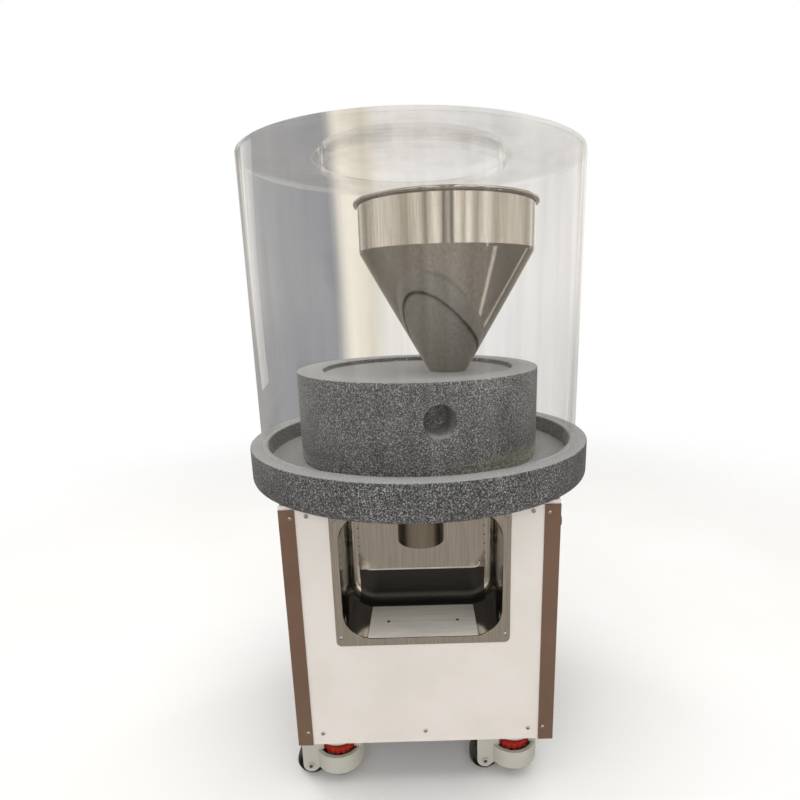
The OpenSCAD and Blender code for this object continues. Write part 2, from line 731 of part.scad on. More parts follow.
// Rocker that tips about an upright pin between the bezel's walls
module power_rocker() color("firebrick")
    translate([side - 3, rocker_y, control_z]) rotate([0, 0, rocker_tip]) {
        half = bezel_l / 2 - 4;
        high = bezel_w / 2 - 4 - seat_gap;
        translate([0, 0, -high]) linear_extrude(2 * high)
            polygon([[-2, -half + 1.2], [6.4, -half + 1.6], [4.6, 0], [6.4, half - 1.6], [-2, half - 1.2],
                [-3.6, 0]]);
        cylinder(d = rocker_pin, h = 2 * high + 2.4, center = true);
    }

module power_inlet() color("black") {
    inlet_shell();
    for (x = [-7, 0, 7]) translate([inlet_x + x, panel_front - 12, inlet_z]) cube([2, 14, 4], center = true);
}

// Snap-in shell of the power inlet, open to the back
module inlet_shell() difference() {
    union() {
        block([inlet_x - inlet_w / 2 - 4, panel_front, inlet_z - inlet_h / 2 - 4],
            [inlet_x + inlet_w / 2 + 4, panel_front + 3, inlet_z + inlet_h / 2 + 4]);
        block([inlet_x - inlet_w / 2 + seat_gap, panel_front - inlet_deep, inlet_z - inlet_h / 2 + seat_gap],
            [inlet_x + inlet_w / 2 - seat_gap, panel_front + over, inlet_z + inlet_h / 2 - seat_gap]);
    }
    block([inlet_x - inlet_w / 2 + 10, panel_front - 18, inlet_z - inlet_h / 2 + 5],
        [inlet_x + inlet_w / 2 - 10, panel_front + 3 + over, inlet_z + inlet_h / 2 - 5]);
}

module castor_plates() color("silver") for (c = castor_places) translate([c[0], c[1], 0]) difference() {
    union() {
        translate([-castor_plate_w / 2, -castor_plate_w / 2, swivel_z])
            cube([castor_plate_w, castor_plate_w, castor_plate_t]);
        translate([0, 0, swivel_z - pin_l]) cylinder(d = pin_d, h = pin_l + over);
    }
    for (x = [-1, 1], y = [-1, 1]) translate([x * bolt_step, y * bolt_step, swivel_z - over])
        cylinder(d = bolt_d + 2 * seat_gap, h = castor_plate_t + 2 * over);
}

module castor_bolts() color("lightgray") for (c = castor_places, x = [-1, 1], y = [-1, 1])
    translate([c[0] + x * bolt_step, c[1] + y * bolt_step, swivel_z]) {
        translate([0, 0, -5]) cylinder(d = bolt_d + 5, h = 5, $fn = 6);
        translate([0, 0, -over]) cylinder(d = bolt_d, h = castor_plate_t + base_t + 8);
    }

// Cast body of a castor: an open cup for the levelling foot, a pillar, a roof that swivels, and cheeks
module castor_body(i) color("silver") translate([castor_places[i][0], castor_places[i][1], 0]) {
    difference() {
        union() {
            translate([0, 0, cup_low]) cylinder(d = cup_d, h = cup_rim - cup_low);
            translate([0, 0, roof_z]) cylinder(d = roof_d, h = cup_top - roof_z);
            intersection() {
                translate([0, 0, cup_rim - over])
                    ring(cup_d, cup_d - 2 * pillar_t, roof_z - cup_rim + 2 * over);
                block([0, -pillar_w / 2, 0], [cup_d, pillar_w / 2, cup_top]);
            }
            for (y = [-1, 1]) translate([0, y * cheek_y - (y > 0 ? 0 : cheek_t), 0]) cheek();
        }
        translate([0, 0, cup_low + cup_t])
            cylinder(d = cup_d - 2 * cup_t, h = cup_rim - cup_low - cup_t + over);
        cylinder(d = stem_d + 2 * run_fit, h = cup_rim);
        translate([0, 0, swivel_z - pin_l - pin_gap]) cylinder(d = pin_d + 2 * run_fit, h = pin_l + pin_gap);
        translate([-axle_step, cheek_y, axle_z]) rotate([90, 0, 0])
            cylinder(d = wheel_d + 2 * wheel_gap, h = 2 * cheek_y);
    }
    translate([-axle_step, cheek_y + cheek_t + axle_end, axle_z]) rotate([90, 0, 0])
        cylinder(d = axle_d, h = 2 * (cheek_y + cheek_t + axle_end));
}

// One cheek of a castor, from the axle to the cup and up to the roof
module cheek() translate([0, cheek_t, 0]) rotate([90, 0, 0]) linear_extrude(cheek_t) {
    translate([-axle_step, axle_z]) circle(r = cheek_r);
    polygon([[-axle_step - cheek_r, axle_z], [-axle_step + 6, axle_z - cheek_r + 2],
        [-cheek_in - 2, cup_low + 2], [-cheek_in, cup_low + 2], [-cheek_in, cup_top - 2],
        [-cheek_out, cup_top - 2], [-cheek_out, cheek_top],
        [-axle_step - cheek_r, cheek_top]]);
}

module castor_wheel(i) color("dimgray")
    translate([castor_places[i][0] - axle_step, castor_places[i][1], axle_z]) rotate([90, 0, 0]) difference() {
        rotate_extrude() polygon([[axle_d / 2 + run_fit, -wheel_w / 2], [wheel_d / 2 - 3, -wheel_w / 2],
            [wheel_d / 2, -wheel_w / 2 + 3], [wheel_d / 2, wheel_w / 2 - 3],
            [wheel_d / 2 - 3, wheel_w / 2], [axle_d / 2 + run_fit, wheel_w / 2]]);
        for (z = [wheel_w / 2 - 5, -wheel_w / 2 - over]) translate([0, 0, z])
            ring(wheel_d - 10, axle_d + 10, 5 + over);
    }

module thumbwheel(i) color("orangered") translate([castor_places[i][0], castor_places[i][1], thumb_z])
    difference() {
        cylinder(d = thumb_d, h = thumb_t);
        translate([0, 0, -over]) cylinder(d = stem_d + 2 * run_fit, h = thumb_t + 2 * over);
        for (a = [0:20:340]) rotate([0, 0, a]) translate([thumb_d / 2, 0, -over])
            cylinder(d = 5, h = thumb_t + 2 * over);
    }

module levelling_foot(i) color("black") translate([castor_places[i][0], castor_places[i][1], pad_lift]) {
    cylinder(d = pad_d, h = 9);
    translate([0, 0, 8]) cylinder(d = stem_d, h = thumb_z + thumb_t - pad_lift - 5);
}

bed_stone();
runner_stone();
runner_skirt();
grinding_face();
rynd();
powder_scraper();
hopper();
cover_shell();
cover_top();
fill_lid();
discharge_chute();
top_plate();
base_plate();
corner_posts();
front_panel();
rear_panel();
left_side_panel();
right_side_panel();
niche_liner();
panel_screws();
flange_screws();
niche_screws();
shaft_seal();
bearing_housing();
upper_bearing();
lower_bearing();
drive_shaft();
shaft_coupling();
output_shaft();
output_gear();
gearbox_housing();
gearbox_lid();
gearbox_bush();
motor_housing();
motor_stator();
motor_rotor();
motor_pinion();
motor_stand();
speed_knob();
speed_controller();
rocker_bezel();
power_rocker();
power_inlet();
castor_plates();
castor_bolts();
castor_body(0);  // castor_body_fl
castor_body(1);  // castor_body_fr
castor_body(2);  // castor_body_rl
castor_body(3);  // castor_body_rr
castor_wheel(0);  // castor_wheel_fl
castor_wheel(1);  // castor_wheel_fr
castor_wheel(2);  // castor_wheel_rl
castor_wheel(3);  // castor_wheel_rr
thumbwheel(0);  // thumbwheel_fl
thumbwheel(1);  // thumbwheel_fr
thumbwheel(2);  // thumbwheel_rl
thumbwheel(3);  // thumbwheel_rr
levelling_foot(0);  // levelling_foot_fl
levelling_foot(1);  // levelling_foot_fr
levelling_foot(2);  // levelling_foot_rl
levelling_foot(3);  // levelling_foot_rr
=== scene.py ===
import json
import math
import bmesh
import bpy
from mathutils import Matrix, Vector


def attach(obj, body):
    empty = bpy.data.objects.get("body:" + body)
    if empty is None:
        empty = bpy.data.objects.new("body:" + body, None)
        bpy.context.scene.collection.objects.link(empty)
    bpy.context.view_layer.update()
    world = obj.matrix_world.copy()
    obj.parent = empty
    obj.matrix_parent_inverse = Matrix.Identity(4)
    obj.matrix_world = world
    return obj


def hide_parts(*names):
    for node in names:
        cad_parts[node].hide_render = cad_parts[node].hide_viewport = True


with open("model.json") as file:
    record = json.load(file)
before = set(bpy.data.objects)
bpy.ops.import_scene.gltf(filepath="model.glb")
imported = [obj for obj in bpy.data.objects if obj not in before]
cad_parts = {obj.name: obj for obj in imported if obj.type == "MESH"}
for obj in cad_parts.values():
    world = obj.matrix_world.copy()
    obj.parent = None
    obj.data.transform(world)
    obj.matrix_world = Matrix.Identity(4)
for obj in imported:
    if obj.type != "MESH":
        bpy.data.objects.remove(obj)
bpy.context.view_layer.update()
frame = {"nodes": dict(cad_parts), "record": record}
scene = bpy.context.scene
mm = 0.001
print("frame loaded:", len(frame["nodes"]), "nodes")


def linear(hexCode):  # sRGB hex to linear RGBA
    parts = [int(hexCode[i:i + 2], 16) / 255 for i in (0, 2, 4)]
    return [c / 12.92 if c <= 0.04045 else ((c + 0.055) / 1.055) ** 2.4 for c in parts] + [1.0]


def addNode(tree, kind, values=None, links=None, stops=None, **settings):
    node = tree.nodes.new(kind)
    for key, setting in settings.items():
        setattr(node, key, setting)
    for key, value in (values or {}).items():
        node.inputs[key].default_value = value
    for key, source in (links or {}).items():
        tree.links.new(source, node.inputs[key])
    for i, (place, hexCode) in enumerate(stops or []):  # a new ramp has two stops already
        stop = node.color_ramp.elements[i] if i < 2 else node.color_ramp.elements.new(place)
        stop.position = place
        stop.color = linear(hexCode)
    return node


def startMaterial(name):
    material = bpy.data.materials.new(name)
    material.use_nodes = True
    tree = material.node_tree
    shader = tree.nodes["Principled BSDF"]
    coords = addNode(tree, "ShaderNodeTexCoord").outputs["Object"]
    return material, tree, shader, coords


def perMetre(millimetres):  # texture scale that gives cells of this size
    return 1000 / millimetres


# Grey granite: black, grey and white crystals, dark where it is pecked, and lighter on faces that point up, a painted
# highlight of the light from above
graniteSpec = {
    "grain": 1.6, "fleck": 2.0, "fleckShare": 0.55, "cloud": 60, "rough": (0.5, 0.78), "bump": 0.35, "bumpDeep": 0.6,
    "grainTones": [(0.0, "1c1c1c"), (0.3, "2e2e2e"), (0.6, "474748"), (0.82, "6c6c6c"), (1.0, "a9a9a8")],
    "fleckTones": [(0.38, "141414"), (0.52, "474748"), (0.66, "c6c6c6")],
    "cloudTones": [(0.3, "d2d2d2"), (0.7, "ffffff")],
    # painted highlight: faces that point up turn towards this pale tone, over this range of facing, by up to this
    # share
    "paintedTopLight": "b9b9b6", "paintedTopLightFacing": (0.5, 0.95), "paintedTopLightShare": 0.42,
    "powder": "8c8b5e", "powderDeep": 20, "powderSide": (20, 180), "powderShare": 0.45,
    "polishFade": 3, "polish": 0.4}


def granite(name, s, polishTop=None, dustTop=None):
    material, tree, shader, coords = startMaterial(name)
    crystals = addNode(tree, "ShaderNodeTexVoronoi", {"Scale": perMetre(s["grain"]), "Randomness": 1.0},
                       {"Vector": coords})
    crystalTone = addNode(tree, "ShaderNodeSeparateColor", links={"Color": crystals.outputs["Color"]})
    body = addNode(tree, "ShaderNodeValToRGB", links={"Fac": crystalTone.outputs["Red"]}, stops=s["grainTones"])
    flecks = addNode(tree, "ShaderNodeTexNoise", {"Scale": perMetre(s["fleck"]), "Detail": 3.0}, {"Vector": coords})
    fleckTone = addNode(tree, "ShaderNodeValToRGB", links={"Fac": flecks.outputs["Fac"]}, stops=s["fleckTones"])
    grainMix = addNode(tree, "ShaderNodeMix", {"Factor": s["fleckShare"]},
                       {"A": body.outputs["Color"], "B": fleckTone.outputs["Color"]}, data_type="RGBA")
    clouds = addNode(tree, "ShaderNodeTexNoise", {"Scale": perMetre(s["cloud"]), "Detail": 4.0}, {"Vector": coords})
    cloudTone = addNode(tree, "ShaderNodeValToRGB", links={"Fac": clouds.outputs["Fac"]}, stops=s["cloudTones"])
    pecked = addNode(tree, "ShaderNodeMix", {"Factor": 1.0},
                     {"A": grainMix.outputs["Result"], "B": cloudTone.outputs["Color"]},
                     data_type="RGBA", blend_type="MULTIPLY")
    # painted highlight: the more a face points up, the more it is mixed towards the pale tone, standing for the light
    # from above
    facing = addNode(tree, "ShaderNodeSeparateXYZ",
                     links={"Vector": addNode(tree, "ShaderNodeNewGeometry").outputs["Normal"]})
    paintedTopLight = addNode(tree, "ShaderNodeMapRange", {"From Min": s["paintedTopLightFacing"][0], "From Max": s["paintedTopLightFacing"][1],
                                                "To Max": s["paintedTopLightShare"]}, {"Value": facing.outputs["Z"]})
    colour = addNode(tree, "ShaderNodeMix", {"B": linear(s["paintedTopLight"])},
                     {"Factor": paintedTopLight.outputs["Result"], "A": pecked.outputs["Result"]},
                     data_type="RGBA").outputs["Result"]
    place = addNode(tree, "ShaderNodeSeparateXYZ", links={"Vector": coords})
    if dustTop:  # green tea powder that clings to the right foot of the stone, below this height
        low = addNode(tree, "ShaderNodeMapRange", {"From Min": dustTop * mm,
                                                   "From Max": (dustTop - s["powderDeep"]) * mm},
                      {"Value": place.outputs["Z"]})
        beside = addNode(tree, "ShaderNodeMapRange", {"From Min": s["powderSide"][0] * mm,
                                                      "From Max": s["powderSide"][1] * mm,
                                                      "To Max": s["powderShare"]}, {"Value": place.outputs["X"]})
        powder = addNode(tree, "ShaderNodeMath", links={0: low.outputs["Result"], 1: beside.outputs["Result"]},
                         operation="MULTIPLY")
        colour = addNode(tree, "ShaderNodeMix", {"B": linear(s["powder"])},
                         {"Factor": powder.outputs["Value"], "A": colour}, data_type="RGBA").outputs["Result"]
    tree.links.new(colour, shader.inputs["Base Color"])
    rough = addNode(tree, "ShaderNodeMapRange", {"To Min": s["rough"][0], "To Max": s["rough"][1]},
                    {"Value": crystalTone.outputs["Red"]}).outputs["Result"]
    if polishTop:  # band polished by the powder, below this height
        band = addNode(tree, "ShaderNodeMapRange", {"From Min": polishTop * mm,
                                                    "From Max": (polishTop + s["polishFade"]) * mm,
                                                    "To Min": s["polish"], "To Max": 1.0},
                       {"Value": place.outputs["Z"]})
        rough = addNode(tree, "ShaderNodeMath", links={0: rough, 1: band.outputs["Result"]},
                        operation="MULTIPLY").outputs["Value"]
    tree.links.new(rough, shader.inputs["Roughness"])
    bump = addNode(tree, "ShaderNodeBump", {"Strength": s["bump"], "Distance": s["bumpDeep"] * mm},
                   {"Height": flecks.outputs["Fac"]})
    tree.links.new(bump.outputs["Normal"], shader.inputs["Normal"])
    return material


# Metals: turned, rolled or cast, with fine streaks along one axis and a little waviness.
# Real polishing lines are too fine to show, so the streaks are drawn 1 to 3 mm apart.
def metal(name, hexCode, rough, streak, wave, bump=0.05, metallic=1.0):
    material, tree, shader, coords = startMaterial(name)
    shader.inputs["Metallic"].default_value = metallic
    stretch = addNode(tree, "ShaderNodeMapping", {"Scale": [perMetre(size) for size in streak]}, {"Vector": coords})
    lines = addNode(tree, "ShaderNodeTexNoise", {"Scale": 1.0, "Detail": 3.0}, {"Vector": stretch.outputs["Vector"]})
    waves = addNode(tree, "ShaderNodeTexNoise", {"Scale": perMetre(wave), "Detail": 1.0}, {"Vector": coords})
    lineTone = addNode(tree, "ShaderNodeValToRGB", links={"Fac": lines.outputs["Fac"]},
                       stops=[(0.3, "e4e4e4"), (0.7, "ffffff")])
    colour = addNode(tree, "ShaderNodeMix", {"Factor": 1.0, "B": linear(hexCode)},
                     {"A": lineTone.outputs["Color"]}, data_type="RGBA", blend_type="MULTIPLY")
    tree.links.new(colour.outputs["Result"], shader.inputs["Base Color"])
    roughness = addNode(tree, "ShaderNodeMapRange", {"To Min": rough[0], "To Max": rough[1]},
                        {"Value": lines.outputs["Fac"]})
    tree.links.new(roughness.outputs["Result"], shader.inputs["Roughness"])
    ripple = addNode(tree, "ShaderNodeBump", {"Strength": bump, "Distance": 1.5 * mm},
                     {"Height": waves.outputs["Fac"]})
    tree.links.new(ripple.outputs["Normal"], shader.inputs["Normal"])
    return material


# Powder coats and moulded plastics: a fine orange-peel skin and a slow change of tone
def coating(name, hexCode, darkHex, rough, peel, bump=0.12, cloud=90):
    material, tree, shader, coords = startMaterial(name)
    skin = addNode(tree, "ShaderNodeTexNoise", {"Scale": perMetre(peel), "Detail": 2.0}, {"Vector": coords})
    slow = addNode(tree, "ShaderNodeTexNoise", {"Scale": perMetre(cloud), "Detail": 3.0}, {"Vector": coords})
    tone = addNode(tree, "ShaderNodeValToRGB", links={"Fac": slow.outputs["Fac"]},
                   stops=[(0.3, darkHex), (0.65, hexCode)])
    tree.links.new(tone.outputs["Color"], shader.inputs["Base Color"])
    roughness = addNode(tree, "ShaderNodeMapRange", {"To Min": rough[0], "To Max": rough[1]},
                        {"Value": skin.outputs["Fac"]})
    tree.links.new(roughness.outputs["Result"], shader.inputs["Roughness"])
    peelBump = addNode(tree, "ShaderNodeBump", {"Strength": bump, "Distance": 0.3 * mm},
                       {"Height": skin.outputs["Fac"]})
    tree.links.new(peelBump.outputs["Normal"], shader.inputs["Normal"])
    return material


# Cast acrylic, flame polished: thin clear walls that bend no light, a glossy skin, a faint film of dust in streaks
acrylicSpec = {"clear": "ffffff", "dust": "f3f4f4", "streak": (30, 30, 300), "sockets": {
    "Transmission Weight": 1.0, "IOR": 1.0005, "Roughness": 0.0, "Coat Weight": 0.4, "Coat IOR": 1.49,
    "Coat Roughness": 0.015}}


def acrylic(name, s):
    material, tree, shader, coords = startMaterial(name)
    for socket, value in s["sockets"].items():
        shader.inputs[socket].default_value = value
    stretch = addNode(tree, "ShaderNodeMapping", {"Scale": [perMetre(size) for size in s["streak"]]},
                      {"Vector": coords})
    dust = addNode(tree, "ShaderNodeTexNoise", {"Scale": 1.0, "Detail": 5.0}, {"Vector": stretch.outputs["Vector"]})
    film = addNode(tree, "ShaderNodeValToRGB", links={"Fac": dust.outputs["Fac"]},
                   stops=[(0.45, s["clear"]), (0.75, s["dust"])])
    tree.links.new(film.outputs["Color"], shader.inputs["Base Color"])
    return material


# Metal: colour, roughness, streak sizes in mm, wave in mm, bump, metallic
# Coating: colour, its darker tone, roughness, orange peel in mm, bump
finishes = {
    # dull speckled stone, and the same with a shiny powdered foot
    "bed_stone": granite("granite honed bed", graniteSpec),
    "runner_stone": granite("granite honed runner", graniteSpec, polishTop=543, dustTop=556),
    # a near mirror with faint upright lines
    "polished_steel": metal("stainless sheet polished", "b0aca6", (0.04, 0.08), (3, 3, 90), 70, 0.10),
    # a mirror that blurs a little
    "niche_steel": metal("stainless sheet drawn", "bab5ae", (0.07, 0.14), (2, 60, 60), 80, 0.05),
    # an even, nearly white sheen that mirrors nothing: a painted reflection of light on the niche's floor plate, and
    # a painted highlight on the bead
    "painted_light_steel": metal("stainless sheet blasted, painted light", "f6f0e6", (0.5, 0.6), (60, 2, 2), 40, 0.05, 0.05),
    # nearly black, half dull: painted shade on the foot of the niche's back wall
    "painted_shade_steel": metal("stainless sheet painted shade", "34322f", (0.25, 0.4), (60, 2, 2), 40, 0.05, 0.5),
    # soft highlights along the tube
    "chute_steel": metal("stainless tube dull", "968d82", (0.24, 0.38), (2, 2, 60), 30, 0.06),
    # clear, with sharp glints
    "clear_acrylic": acrylic("acrylic cast clear", acrylicSpec),
    # satin sheets with a fine skin
    "cream_paint": coating("powder coat off-white", "e3dcd5", "dcd5cd", (0.38, 0.5), 1.6),
    "brown_paint": coating("powder coat brown", "6f5543", "664c3b", (0.36, 0.5), 1.6),
    # dull grey inside the cabinet
    "frame_steel": coating("paint dark grey", "4d4e50", "434446", (0.45, 0.6), 2.0),
    # small hard glints
    "screw_steel": metal("zinc plate bright", "b9b8b5", (0.2, 0.34), (2, 2, 2), 6, 0.1),
    # a coarse half-gloss skin
    "machine_iron": coating("cast iron enamelled", "4c5357", "43494d", (0.4, 0.6), 2.6, 0.3),
    # bright, with fine rings round the axis
    "bright_steel": metal("steel turned", "b4b4b4", (0.18, 0.3), (40, 40, 1.2), 20),
    # a warm yellow shine
    "gear_bronze": metal("bronze cut", "b98f4c", (0.22, 0.36), (2, 2, 30), 12),
    # black and dull
    "black_rubber": coating("rubber moulded", "1d1d1d", "151515", (0.6, 0.8), 2.2, 0.2),
    # dark satin
    "black_plastic": coating("ABS moulded dark", "2c2c2d", "252526", (0.42, 0.55), 1.4, 0.15),
    # a strong red with some gloss
    "red_plastic": coating("nylon moulded red", "c83a2a", "b93325", (0.34, 0.46), 1.4, 0.12),
    # warm light grey, slightly grainy
    "castor_metal": coating("aluminium cast and painted", "c3c0b5", "b7b4a9", (0.36, 0.5), 1.8, 0.15),
    # black satin
    "castor_nylon": coating("nylon moulded black", "262626", "1e1e1e", (0.4, 0.55), 1.6, 0.15),
    # warm stripes of wire
    "stator_copper": metal("copper wound", "b8734a", (0.3, 0.45), (1.2, 1.2, 60), 8, 0.2),
    # dark marks and bolt heads, and the painted shade in the niche floor screws' holes
    "cast_dark": coating("zinc ring blackened", "4a4640", "3b3833", (0.4, 0.55), 1.6, 0.15),
}

# Every CAD node takes the finish of its slot, with a few of its own
nodeFinish = {"bed_stone": "bed_stone", "runner_stone": "runner_stone", "runner_skirt": "runner_stone",
              "grinding_face": "runner_stone", "niche_liner": "niche_steel", "discharge_chute": "chute_steel",
              "motor_stator": "stator_copper"}
slotOf = {part["node"]: part["material_slot"] for part in frame["record"]["subparts"]}
for name, node in frame["nodes"].items():
    node.data.materials.clear()
    node.data.materials.append(finishes[nodeFinish.get(name, slotOf[name])])
bodyOf = {name: body for body, names in frame["record"]["behaviour"]["bodies"].items() for name in names}
print("finishes:", len(finishes))


def shade(bm, degrees=35):  # smooth faces, sharp where they meet at more than this
    for face in bm.faces:
        face.smooth = True
    for edge in bm.edges:
        edge.smooth = edge.calc_face_angle(math.pi) < math.radians(degrees)


def addPiece(name, bm, finish, node=None, body=None, sharp=35):
    shade(bm, sharp)
    mesh = bpy.data.meshes.new(name)
    bm.to_mesh(mesh)
    bm.free()
    mesh.materials.append(finishes[finish])
    piece = bpy.data.objects.new(name, mesh)
    scene.collection.objects.link(piece)
    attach(piece, body or bodyOf[node])
    if node:
        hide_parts(node)
    return piece


def lathe(points, steps=160, centre=(0, 0), bevel=0, segments=3):  # (radius, height) in mm, a closed outline
    bm = bmesh.new()
    ring = [bm.verts.new(((centre[0] + r) * mm, centre[1] * mm, z * mm)) for r, z in points]
    edges = [bm.edges.new((ring[i - 1], ring[i])) for i in range(len(ring))]
    bmesh.ops.spin(bm, geom=ring + edges, cent=(centre[0] * mm, centre[1] * mm, 0), axis=(0, 0, 1),
                   angle=2 * math.pi, steps=steps, use_merge=True)
    bmesh.ops.remove_doubles(bm, verts=bm.verts, dist=1e-6)
    bmesh.ops.recalc_face_normals(bm, faces=bm.faces)
    if bevel:
        sharp = [e for e in bm.edges if len(e.link_faces) == 2 and e.calc_face_angle(0) > math.radians(25)]
        bmesh.ops.bevel(bm, geom=sharp, offset=bevel * mm, segments=segments, profile=0.5, affect="EDGES",
                        material=-1, clamp_overlap=True)
    return bm


def block(size):  # a box of this size in mm round the origin
    bm = bmesh.new()
    bmesh.ops.create_cube(bm, size=1.0)
    bmesh.ops.scale(bm, vec=[length * mm for length in size], verts=bm.verts)
    return bm


def shift(x, y, z):  # a move in mm
    return Matrix.Translation((x * mm, y * mm, z * mm))


def turn(degrees, axis):
    return Matrix.Rotation(math.radians(degrees), 4, axis)


def seat(bm, matrix):
    bmesh.ops.transform(bm, matrix=matrix, verts=bm.verts)


def joinInto(target, source):
    mesh = bpy.data.meshes.new("part")
    source.to_mesh(mesh)
    source.free()
    target.from_mesh(mesh)
    bpy.data.meshes.remove(mesh)


def carve(piece, cutterMesh):  # cuts one shape out of a piece and keeps the result as its mesh
    mesh = bpy.data.meshes.new("cutter")
    cutterMesh.to_mesh(mesh)
    cutterMesh.free()
    cutter = bpy.data.objects.new("cutter", mesh)
    scene.collection.objects.link(cutter)
    cut = piece.modifiers.new("carve", "BOOLEAN")
    cut.operation = "DIFFERENCE"
    cut.solver = "EXACT"
    cut.object = cutter
    depsgraph = bpy.context.evaluated_depsgraph_get()
    result = bpy.data.meshes.new_from_object(piece.evaluated_get(depsgraph))
    piece.modifiers.remove(cut)
    piece.data = result
    bpy.data.objects.remove(cutter)
    bm = bmesh.new()
    bm.from_mesh(result)
    shade(bm)
    bm.to_mesh(result)
    bm.free()


def dress(node, bevel, segments=2):  # a merged copy of a CAD node with broken edges
    bm = bmesh.new()
    bm.from_mesh(frame["nodes"][node].data)
    bmesh.ops.remove_doubles(bm, verts=bm.verts, dist=0.01 * mm)
    bmesh.ops.dissolve_limit(bm, angle_limit=math.radians(0.5), verts=bm.verts, edges=bm.edges)
    piece = addPiece(node + ".dressed", bm, nodeFinish.get(node, slotOf[node]), node)
    broken = piece.modifiers.new("edges", "BEVEL")
    broken.width = bevel * mm
    broken.segments = segments
    broken.limit_method = "ANGLE"
    broken.angle_limit = math.radians(40)


# Bed stone: a shallow tray with a wide rim and a raised grinding face
bedSpec = {"radius": 280, "low": 496, "footIn": 3, "footHigh": 5, "rim": 552, "rimIn": 252, "lean": 1, "floor": 524,
           "face": 560, "faceRadius": 115, "bore": 18, "edge": 2.4, "steps": 192}


def makeBed(s):
    outline = [(s["bore"], s["low"]), (s["radius"] - s["footIn"], s["low"]),
               (s["radius"], s["low"] + s["footHigh"]), (s["radius"], s["rim"]), (s["rimIn"], s["rim"]),
               (s["rimIn"] - s["lean"], s["floor"]), (s["faceRadius"], s["floor"]),
               (s["faceRadius"], s["face"]), (s["bore"], s["face"])]
    addPiece("bedStone", lathe(outline, s["steps"], bevel=s["edge"]), "bed_stone", "bed_stone")


makeBed(bedSpec)

# Runner stone: a thick drum with a recess in its top and a blind socket for a handle in its side
runnerSpec = {"radius": 198.5, "low": 525, "top": 666, "recess": 157, "recessFloor": 658, "lean": 1,
              "skirtIn": 187.5, "hollow": 574.5, "faceRadius": 118, "face": 560.5, "edge": 2.2, "steps": 192,
              "socketRadius": 22, "socketDepth": 60, "socketHeight": 611, "socketTurn": 9,
              "chamferWide": 3, "chamferIn": 5, "chamferOut": 1, "socketPast": 8,
              "feedRadius": 31.8, "feedX": 51, "feedPast": 5, "holeSteps": 64}


def makeRunner(s):
    outline = [(0, s["face"]), (s["faceRadius"], s["face"]), (s["faceRadius"], s["hollow"]),
               (s["skirtIn"], s["hollow"]), (s["skirtIn"], s["low"]), (s["radius"], s["low"]),
               (s["radius"], s["top"]), (s["recess"], s["top"]), (s["recess"] - s["lean"], s["recessFloor"]),
               (0, s["recessFloor"])]
    runner = addPiece("runnerStone", lathe(outline, s["steps"], bevel=s["edge"]), "runner_stone", "runner_stone")
    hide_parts("runner_stone", "runner_skirt", "grinding_face")
    bottom, past = s["radius"] - s["socketDepth"], s["radius"] + s["socketPast"]
    mouth = s["socketRadius"] + s["chamferWide"]
    socket = lathe([(0, bottom), (s["socketRadius"], bottom), (s["socketRadius"], s["radius"] - s["chamferIn"]),
                    (mouth, s["radius"] + s["chamferOut"]), (mouth, past), (0, past)], s["holeSteps"])
    seat(socket, shift(0, 0, s["socketHeight"]) @ turn(s["socketTurn"] - 90, "Z") @ turn(90, "Y"))
    carve(runner, socket)
    low, top = s["face"] - s["feedPast"], s["top"] + s["feedPast"]
    feed = lathe([(0, low), (s["feedRadius"], low), (s["feedRadius"], top), (0, top)], s["holeSteps"],
                 (s["feedX"], 0))
    carve(runner, feed)


makeRunner(runnerSpec)
print("stones made")

# Hopper: rolled sheet, a straight wall with a curled lip over a steep cone
hopperSpec = {"x": 51, "spout": 31.5, "spoutLow": 628, "coneLow": 658, "radius": 140, "coneTop": 848, "bendIn": 1.2,
              "bendLow": 4, "top": 921, "wall": 1.5, "lip": 3.4, "steps": 160, "sharp": 10}


def makeHopper(s):
    outer, inner = s["radius"], s["radius"] - s["wall"]
    bend = s["coneTop"] - s["bendLow"]
    lipX = s["radius"] + s["lip"] - s["wall"] / 2
    curl = [(lipX - s["lip"] * math.cos(a), s["top"] + s["lip"] * math.sin(a) - s["lip"])
            for a in (math.pi * k / 8 for k in range(14, 0, -1))]
    outside = [(s["spout"], s["spoutLow"]), (s["spout"], s["coneLow"]), (outer - s["bendIn"], bend),
               (outer, s["coneTop"]), (outer, s["top"] - 2 * s["lip"])]
    inside = [(inner, s["top"] - s["lip"]), (inner, s["coneTop"]), (inner - s["bendIn"], bend),
              (s["spout"] - s["wall"], s["coneLow"]), (s["spout"] - s["wall"], s["spoutLow"])]
    funnel = lathe(outside + curl + inside, s["steps"], (s["x"], 0))
    addPiece("hopperFunnel", funnel, "polished_steel", "hopper", sharp=s["sharp"])


makeHopper(hopperSpec)

# Clear cover: a bonded tube and disc, with a lid that has a collar and a brim
coverSpec = {"radius": 261, "low": 552.1, "discLow": 975, "glue": 0.05, "top": 980, "wall": 5, "fill": 143,
             "collar": 142.4, "collarLow": 968, "lidTop": 996, "lidWall": 4, "lidGap": 0.1, "brim": 153,
             "brimTop": 984, "tubeEdge": 0.5, "discEdge": 0.8, "steps": 192, "lidSteps": 160}


